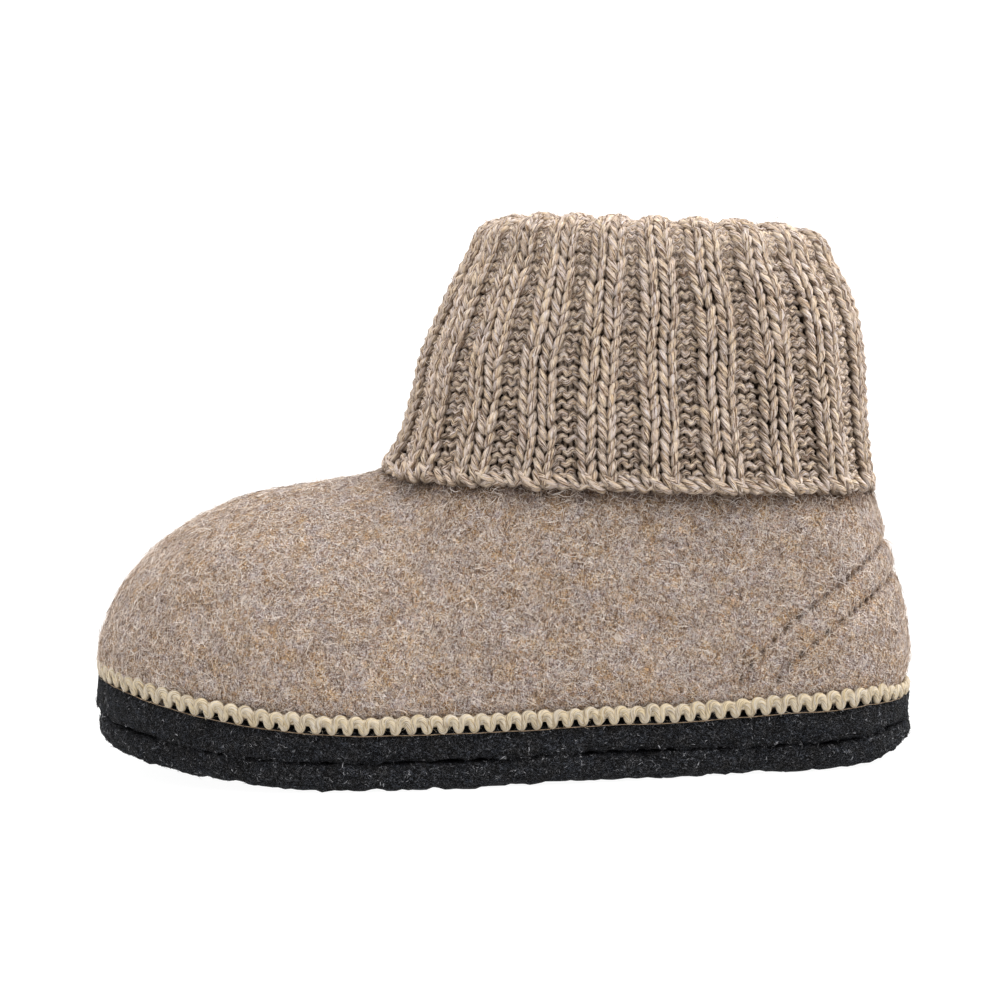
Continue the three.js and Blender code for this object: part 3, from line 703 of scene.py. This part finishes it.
# The gap tone is painted shade, mixed in where the yarn lies low.
edging_yarn = yarn_finish("edging_yarn_cream", EDGING_TONES, twist=0.012, strands=26, relief=0.0003,
                          gap=(0.2, 0.145, 0.085), crests=(-0.6, 0.5))
edging_yarn.on(edging)
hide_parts("edge_trim")
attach(edging, "root")
edge_hair = Finish("edging_wool_hair", Base_Color=(0.66, 0.585, 0.46, 1), Roughness=0.85,
                   Specular_IOR_Level=0.2)
places, facing = strewn(edging, EDGE_HAIRS, edge_draw, lambda centre, normal: normal[:, 2] > -0.8)
edge_fuzz = hairs_on("edge_hairs", places, facing, edge_draw, EDGE_HAIR_LONG, EDGE_HAIR_WIDE,
                     lift=0.6, curl=2.0)
edge_hair.on(edge_fuzz)
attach(edge_fuzz, "root")
lock_out = 0.1 + 0.3 * np.sin(line_run * 0.37) + 0.15 * np.sin(line_run * 0.91)
lock_places, lock_facing = edge_place(line_run, lock_out, np.full(len(line_run), LOCK_UP))
lock = tubes("edge_lock_thread", [(lock_places, lock_facing, LOCK_RADIUS, 0.0)], sides=5)
LOCK_TONES = ((0.36, 0.27, 0.19), (0.26, 0.18, 0.12), (0.1, 0.07, 0.04))
# The gap tone is painted shade, mixed in where the thread lies low.
lock_thread = yarn_finish("lock_thread_tan", LOCK_TONES, twist=0.003, strands=6, relief=0.0001,
                          gap=(0.05, 0.035, 0.02), crests=(-0.2, 0.05))
lock_thread.on(lock)
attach(lock, "root")


# Cuff: a tube of two-and-two rib knitted in thick beige wool, turned down over the felt collar.
# Two knit columns stand up as a rib between two sunken purl columns; a cast-off coil edges the hem.
CUFF_RINGS = {  # height, ends and half width of the tube
    "rise": (86, 98, 110, 122, 134, 145, 156),
    "front": (-35.5, -31, -27.5, -24.6, -19.4, -14.2, -8.4),
    "back": (114.8, 112.8, 111.9, 111.5, 110.3, 107.3, 101.8),
    "half": (43.2, 41.8, 40.8, 40, 39.2, 38, 36.2),
}
RING_MIDDLE, RING_POWER = -1.5, 2 / 2.3  # the tube's middle in y, and how square its rings are
HEM, FOLD_TOP, COLLAR_TOP = 86.4, 156, 97.6
OUTER, FOLD, INNER = FOLD_TOP - HEM, 29.3, FOLD_TOP - COLLAR_TOP  # lengths of the tube's three stretches
FOLD_DEEP, FOLD_OPEN, FOLD_HIGH = 8, 6.6, 10.5  # half the fold's thickness, its opening below, its height
HEM_RIDE, HEM_FLARE, FLARE_HIGH = 1.7, 3.0, 15  # how the hem rides up and stands off at the instep
RIBS = 20
RIB_START, RIB_LEAN = 0.18, 0.45  # where the first rib is, and how far ribs lean at the sides, in ribs
RIB_HALF = ((25, 60, 100, 125), (0.31, 0.355, 0.355, 0.31))  # along the tube, half a rib's width, in ribs
COLUMN_GAP = 0.012  # between the middle of a rib and its columns, in ribs
CLOTH_DEEP, CROWN, VALLEY = 1.2, (0.7, 0.6), (0.9, 0.6)  # depths of the cloth, and the fold's part in them
VALLEY_START, VALLEY_RUN, FOLD_EASE = 0.86, 0.3, 9  # in half ribs, and in millimetres beside the fold
ROW, FIRST_ROW = 3.32, 3.2  # height of a knitted row, and of the first one over the hem
FOLD_ROWS, FOLD_EVEN = (17, 21, 27, 31), 0.55  # the rows that the fold stretches level, and by how much
LOOP_SWING, LOOP_TALL = (0.25, 0.2), (3.3, 2.5)  # each for knit and for purl, as are the next two
LOOP_OUT, LOOP_RADIUS = (-1.0, 0.7), (1.06, 0.92)
PURL_STAND = 0.55  # how much paler purl loops are kept, by less painted shade, as added height over the cloth
BANDS = (  # name, rows, points in each loop and round the yarn
    ("lower", range(0, 13), 12, 6),
    ("upper", range(13, 26), 12, 6),
    ("inner", range(26, 47), 8, 4),
)
HEM_SLANT = (0.18, 0.42, 0.45, 0.28, 0.18)  # how far a loop of each column leans along the hem, in loops
HEM_TALL = (1.9, 2.5, 1.4, 1.6, 1.9)
HEM_COLUMNS = (-0.31, 0, 0.31, 0.5, 0.69)  # where each column starts, in ribs
HEM_STEPS, COIL_UP, COIL_RADIUS, STRAND_UP, STRAND_RADIUS = 12, 2.5, 1.1, 1.3, 1.05
HEM_DIM, HEM_DIM_HIGH, HEM_DIM_SHAPE = 0.95, 4.4, (0.8, 0.3, 1)  # shade on the felt along the hem
HEM_DIM_FRONT = ((-0.044, -0.03), (0.25, 1))  # and how it fades at the instep, by x
SHEET_ROWS, SHEET_STEPS, SHEET_DEPTHS = 32, 7, (0.9, 1.7)  # the sheet behind the loops, dark with painted shade, and the depths of its two faces
CUFF_HAIRS, CUFF_HAIR_LONG, CUFF_HAIR_WIDE = 7000, (0.001, 0.0045), 0.00015  # on each of two bands
ring_front, ring_back = through(CUFF_RINGS, "rise", "front"), through(CUFF_RINGS, "rise", "back")
ring_half = through(CUFF_RINGS, "rise", "half")


def squared(value):
    return np.sign(value) * np.abs(value) ** RING_POWER


def ring(turn, rise, inset):
    """A point of a level ring of the tube, drawn in by an inset."""
    front, back = ring_front(rise) + inset, ring_back(rise) - inset
    x = (front + back) / 2 + (back - front) / 2 * squared(np.cos(turn))
    return x, RING_MIDDLE + (ring_half(rise) - inset) * squared(np.sin(turn))


fine_turn = np.linspace(0, 2 * math.pi, 2001)
fine_x, fine_y = ring(fine_turn, np.full(len(fine_turn), (HEM + FOLD_TOP) / 2), 0)
fine_run = np.r_[0, np.cumsum(np.hypot(np.diff(fine_x), np.diff(fine_y)))]


def turn_at(along):
    """The turn round the tube at a share of the way round it."""
    return np.interp(along % 1, fine_run / fine_run[-1], fine_turn)


def cuff_place(along, run):
    """A point on the cuff: a share of the way round, following the ribs, and a distance from the hem."""
    lean = RIB_LEAN * ramp(run, 0, OUTER) * np.sin(turn_at(along)) / RIBS
    turn = turn_at(along + lean)
    over = math.pi * ramp(run, OUTER, FOLD)
    down = np.clip((run - OUTER - FOLD) / INNER, 0, 1.1)
    ahead = np.maximum(-np.cos(turn), 0)
    ride = HEM_RIDE * ahead ** 24 * (1 - ramp(run, 0, OUTER))
    rise = np.where(run < OUTER, HEM + run + ride, FOLD_TOP - INNER * down)
    flare = HEM_FLARE * ahead ** 6 * np.clip(1 - run / FLARE_HIGH, 0, 1.1) ** 2
    x, y = ring(turn, rise, FOLD_DEEP * (1 - np.cos(over)) - FOLD_OPEN * down - flare)
    fold = FOLD_HIGH * np.sin(over) * (1 - 0.3 * np.cos(turn) ** 6)
    return np.stack([x, y, rise + fold - CUFF_TILT * (x - CUFF_MIDDLE)], axis=-1)


def cuff_facing(along, run):
    """The way the cuff's face looks at a point."""
    ahead = cuff_place(along + 4e-4, run) - cuff_place(along - 4e-4, run)
    upward = cuff_place(along, run + 0.3) - cuff_place(along, run - 0.3)
    out = np.cross(ahead, upward)
    return out / np.linalg.norm(out, axis=-1, keepdims=True)


def rib_phase(along):
    """0 in the middle of a rib, and half way to the next one in the middle of a valley."""
    return (RIBS * along - RIB_START + 0.5) % 1 - 0.5


def rib_half(run):
    """Half the width of a rib, in shares of a rib and its valley: the fold spreads the ribs."""
    return np.interp(run, *RIB_HALF)


def cloth_depth(along, run):
    """Depth of the middle of the cloth under the cuff's face: a rounded rib, and a valley that the fold
    makes flatter."""
    flat = ramp(run - OUTER, -FOLD_EASE, FOLD_EASE) * ramp(OUTER + FOLD + FOLD_EASE - run, 0, FOLD_EASE)
    away = np.abs(rib_phase(along)) / rib_half(run)
    valley = ramp(away, VALLEY_START, VALLEY_RUN)
    crown = (CROWN[0] + CROWN[1] * flat) * np.minimum(away, 1) ** 2
    return -CLOTH_DEEP - crown - (VALLEY[0] - VALLEY[1] * flat) * valley * valley * (3 - 2 * valley)


def on_cloth(along, run, out):
    """A point that stands out from the middle of the cloth, and the way the cuff's face looks there."""
    facing = cuff_facing(along, run)
    return cuff_place(along, run) + facing * (cloth_depth(along, run) + out)[:, None], facing


cuff_draw = np.random.default_rng(31)


def course(row, steps):
    """One row of loops round the cuff: knit loops show their legs, purl loops their heads and feet."""
    t = np.arange(RIBS * 4 * steps) / steps
    stitch = t.astype(int)
    column, rib = stitch % 4, stitch // 4
    part = t - stitch
    knit = column < 2
    half = rib_half(FIRST_ROW + row * ROW)
    start = np.array([-half, COLUMN_GAP, half, 0.5])[column]
    wide = np.where(knit, half - COLUMN_GAP, 0.5 - half)
    slack = cuff_draw.normal(size=(4, RIBS * 4))[:, stitch]
    swing = np.where(knit, *LOOP_SWING) * (1 + 0.14 * slack[0])
    turn = 2 * math.pi * part
    phase = rib + start + wide * (part + swing * np.sin(2 * turn))
    sway = 0.02 * np.sin(row * 0.55 + rib * 2.4) + 0.012 * np.sin(row * 1.3 + rib * 5.1)
    along = (phase + RIB_START + sway) / RIBS
    tall = np.where(knit, *LOOP_TALL) * (1 + 0.05 * slack[1])
    run = FIRST_ROW + row * ROW - tall * np.cos(turn) + 0.3 * slack[2]
    ends_rib = ((column == 0) & (part < 0.5)) | ((column == 1) & (part > 0.5))
    ends_valley = ((column == 2) & (part < 0.5)) | ((column == 3) & (part > 0.5))
    firm = np.where(ends_rib | ends_valley, ramp(np.minimum(part, 1 - part), 0, 0.2), 1)
    level = FOLD_EVEN * np.interp(row, FOLD_ROWS, (0, 1, 1, 0))
    out = np.where(knit, *LOOP_OUT) * (1 - level) * firm * np.cos(2 * turn)
    places, facing = on_cloth(along, run, out)
    radius = np.where(knit, *LOOP_RADIUS) * (1 + 0.08 * slack[3])
    radius = radius - 0.17 * np.cos(2 * turn) * np.where(knit, 1, -0.4)
    upward = min(row / 25, 1)
    # Beyond the loop's own height, the stand only sets painted shade: purl loops and the rows at the fold
    # get less, the lowest rows more.
    stand = out + 0.4 * level - 0.25 * (1 - upward) + np.where(knit, 0, PURL_STAND)
    return places, facing, radius * (0.94 + 0.08 * upward), stand


CUFF_TONES = ((0.832, 0.722, 0.637), (0.553, 0.407, 0.306), (0.151, 0.089, 0.055))
# The gap tone is painted shade, mixed in where the yarn lies low.
cuff_yarn = yarn_finish("cuff_yarn_beige", CUFF_TONES, twist=0.018, strands=16, relief=0.0007,
                        gap=(0.142, 0.095, 0.061), crests=(-0.1, 1.7))
yarn_bands = []
for band, rows, steps, sides in BANDS:
    knitted = tubes(f"cuff_ribs_{band}", [course(row, steps) for row in rows], sides)
    cuff_yarn.on(knitted)
    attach(knitted, "root")
    yarn_bands.append(knitted)
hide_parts("cuff")

# The hem's chain of loops slants across each rib and lies along each valley, over a straighter strand.
t = np.arange(RIBS * 4 * HEM_STEPS) / HEM_STEPS
turn = 2 * math.pi * t
column = t % 4
hem_slack = cuff_draw.normal(size=(3, RIBS * 4 + 1))
hem_slack[:, -1] = hem_slack[:, 0]
loose = [np.interp(t, np.arange(RIBS * 4 + 1), row) for row in hem_slack]
slant = np.interp(column, range(5), HEM_SLANT) * (1 + 0.2 * loose[0])
tall = np.interp(column, range(5), HEM_TALL) * (1 + 0.1 * loose[1])
edges = np.interp(column, range(5), HEM_COLUMNS)
coil_along = (t // 4 + edges + RIB_START + slant * 0.25 * np.cos(turn)) / RIBS
coil_run = COIL_UP - tall * np.cos(turn) + 0.3 * loose[2]
coil_out = -1.0 * np.sin(turn)
coil_places, coil_facing = on_cloth(coil_along, coil_run, coil_out)
strand_run = STRAND_UP + 0.45 * np.sin(turn + 1.0) + 0.3 * loose[1]
strand_out = 0.35 * np.cos(turn)
strand_places, strand_facing = on_cloth(t / (RIBS * 4), strand_run, strand_out)
coil = tubes("cuff_cast_off", [
    (coil_places, coil_facing, COIL_RADIUS, coil_out),
    (strand_places, strand_facing, STRAND_RADIUS, strand_out + 0.5),
], sides=6)
cuff_yarn.on(coil)
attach(coil, "root")

# Painted shadow: the felt's colour is darkened along and just under the hem, where the cuff shades it.
hem_line = cuff_place(np.arange(500) / 500, np.zeros(500)) / 1000
felt_places = rows_of(upper.data.vertices, "co").astype(float)
thread_and_painted_shade = upper.data.attributes["thread_and_painted_shade"].data
thread_and_shade_values = rows_of(thread_and_painted_shade, "value", width=1)[:, 0]
for first in range(0, len(felt_places), 2000):
    some = slice(first, first + 2000)
    apart = (felt_places[some, None] - hem_line[None]) * HEM_DIM_SHAPE
    gap = np.linalg.norm(apart, axis=2).min(axis=1) * 1000
    dim = HEM_DIM * np.interp(felt_places[some, 0], *HEM_DIM_FRONT)
    thread_and_shade_values[some] = np.maximum(thread_and_shade_values[some], dim * np.exp(-((gap / HEM_DIM_HIGH) ** 2)))
set_rows(thread_and_painted_shade, "value", thread_and_shade_values)

# A thin sheet closes the holes between the loops; its dark colour is painted shade.
shade_sheet_finish = hair_finish("cuff_shade_sheet", (0.02, 0.013, 0.009), (0.07, 0.048, 0.034), scale=700,
                         span=(0.4, 0.65), detail=3, Roughness=0.95, Specular_IOR_Level=0.1)
sheet_along = np.arange(RIBS * SHEET_STEPS) / (RIBS * SHEET_STEPS)
sheet_runs = np.linspace(1.5, OUTER + FOLD + INNER - 1, SHEET_ROWS)
sheet_rings = [(run, SHEET_DEPTHS[0]) for run in sheet_runs] + [(run, SHEET_DEPTHS[1]) for run in sheet_runs[::-1]]
sheet_wide = len(sheet_along)
sheets = [on_cloth(sheet_along, np.full(sheet_wide, run), -depth)[0] for run, depth in sheet_rings]
r, c = np.meshgrid(np.arange(len(sheet_rings)), np.arange(sheet_wide), indexing="ij")
r2, c2 = (r + 1) % len(sheet_rings), (c + 1) % sheet_wide
sheet_corners = [r * sheet_wide + c, r * sheet_wide + c2, r2 * sheet_wide + c2, r2 * sheet_wide + c]
shade_sheet = piece_of("cuff_shade_sheet", np.concatenate(sheets) / 1000, np.stack(sheet_corners, -1).reshape(-1, 4))
shade_sheet_finish.on(shade_sheet)
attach(shade_sheet, "root")


def shown_knit(centre, normal):
    """The side of the yarn that faces away from the shaft."""
    out = centre - np.array((0.04, -0.0015, 0.11))
    return np.sum(out * normal * (0.4, 1, 0.2), axis=1) > 0


cuff_hair = hair_finish("cuff_wool_hair", (0.74, 0.65, 0.57), (0.32, 0.235, 0.175), scale=420,
                        span=(0.36, 0.64), Roughness=0.85, Specular_IOR_Level=0.2, Sheen_Weight=0.2)
for band, knitted in zip(("lower", "upper"), yarn_bands):
    places, facing = strewn(knitted, CUFF_HAIRS, cuff_draw, shown_knit)
    fuzz = hairs_on(f"cuff_hairs_{band}", places, facing, cuff_draw, CUFF_HAIR_LONG, CUFF_HAIR_WIDE,
                    lift=0.7, curl=1.9)
    cuff_hair.on(fuzz)
    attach(fuzz, "root")


# Stage: a white light table in soft, even studio light, and the camera low at the outer side of the foot.
# The light comes from all round but the camera's side, where a grey card stands, with a broad lamp above.
SKY, LAMP, LAMP_SPREAD, LAMP_TURN, LAMP_TILT = 1.68, 2.6, 50, 75, 28  # strengths, then degrees
PITCH, YAW, ROLL = 6, -5, -0.9  # of the camera, in degrees
AIM, DISTANCE = (-0.0009, 0, 0.0804), 1.0
bpy.ops.object.select_all(action="DESELECT")
bpy.ops.mesh.primitive_plane_add(size=40, location=(0, 0, 0))
floor = bpy.context.object
floor.name = "floor"
floor_white = Finish("floor_white", Base_Color=(0.14, 0.14, 0.14, 1), Roughness=0.9, Specular_IOR_Level=0.0,
                     Emission_Color=(1, 1, 1, 1), Emission_Strength=0.96)
floor_white.on(floor)
bpy.ops.mesh.primitive_plane_add(size=1, location=(0, -2.2, 1.1), rotation=(math.pi / 2, 0, 0))
card = bpy.context.object
card.name = "grey_card"
card.scale = (3.4, 2.2, 1)
card_grey = Finish("card_grey", Base_Color=(0.1, 0.1, 0.1, 1), Roughness=0.9, Specular_IOR_Level=0.0)
card_grey.on(card)
card.visible_camera = False

scene = bpy.context.scene
scene.view_settings.view_transform = "Standard"
scene.world = bpy.data.worlds.new("studio")
scene.world.use_nodes = True
sky = scene.world.node_tree.nodes["Background"]
sky.inputs["Color"].default_value = (1, 1, 1, 1)
sky.inputs["Strength"].default_value = SKY


def turned(degrees, axis):
    return Matrix.Rotation(math.radians(degrees), 4, axis)


lamp_data = bpy.data.lights.new("broad_lamp", "SUN")
lamp_data.energy = LAMP
lamp_data.angle = math.radians(LAMP_SPREAD)
lamp = bpy.data.objects.new("broad_lamp", lamp_data)
scene.collection.objects.link(lamp)
lamp.matrix_world = turned(LAMP_TURN, "Z") @ turned(LAMP_TILT, "X")

camera_data = bpy.data.cameras.new("camera")
camera_data.lens = 117.72
camera_data.sensor_width = 36
camera = bpy.data.objects.new("camera", camera_data)
scene.collection.objects.link(camera)
stand = Matrix.Translation(AIM) @ turned(YAW, "Z") @ turned(90 - PITCH, "X") @ turned(ROLL, "Z")
camera.matrix_world = stand @ Matrix.Translation((0, 0, DISTANCE))
scene.camera = camera
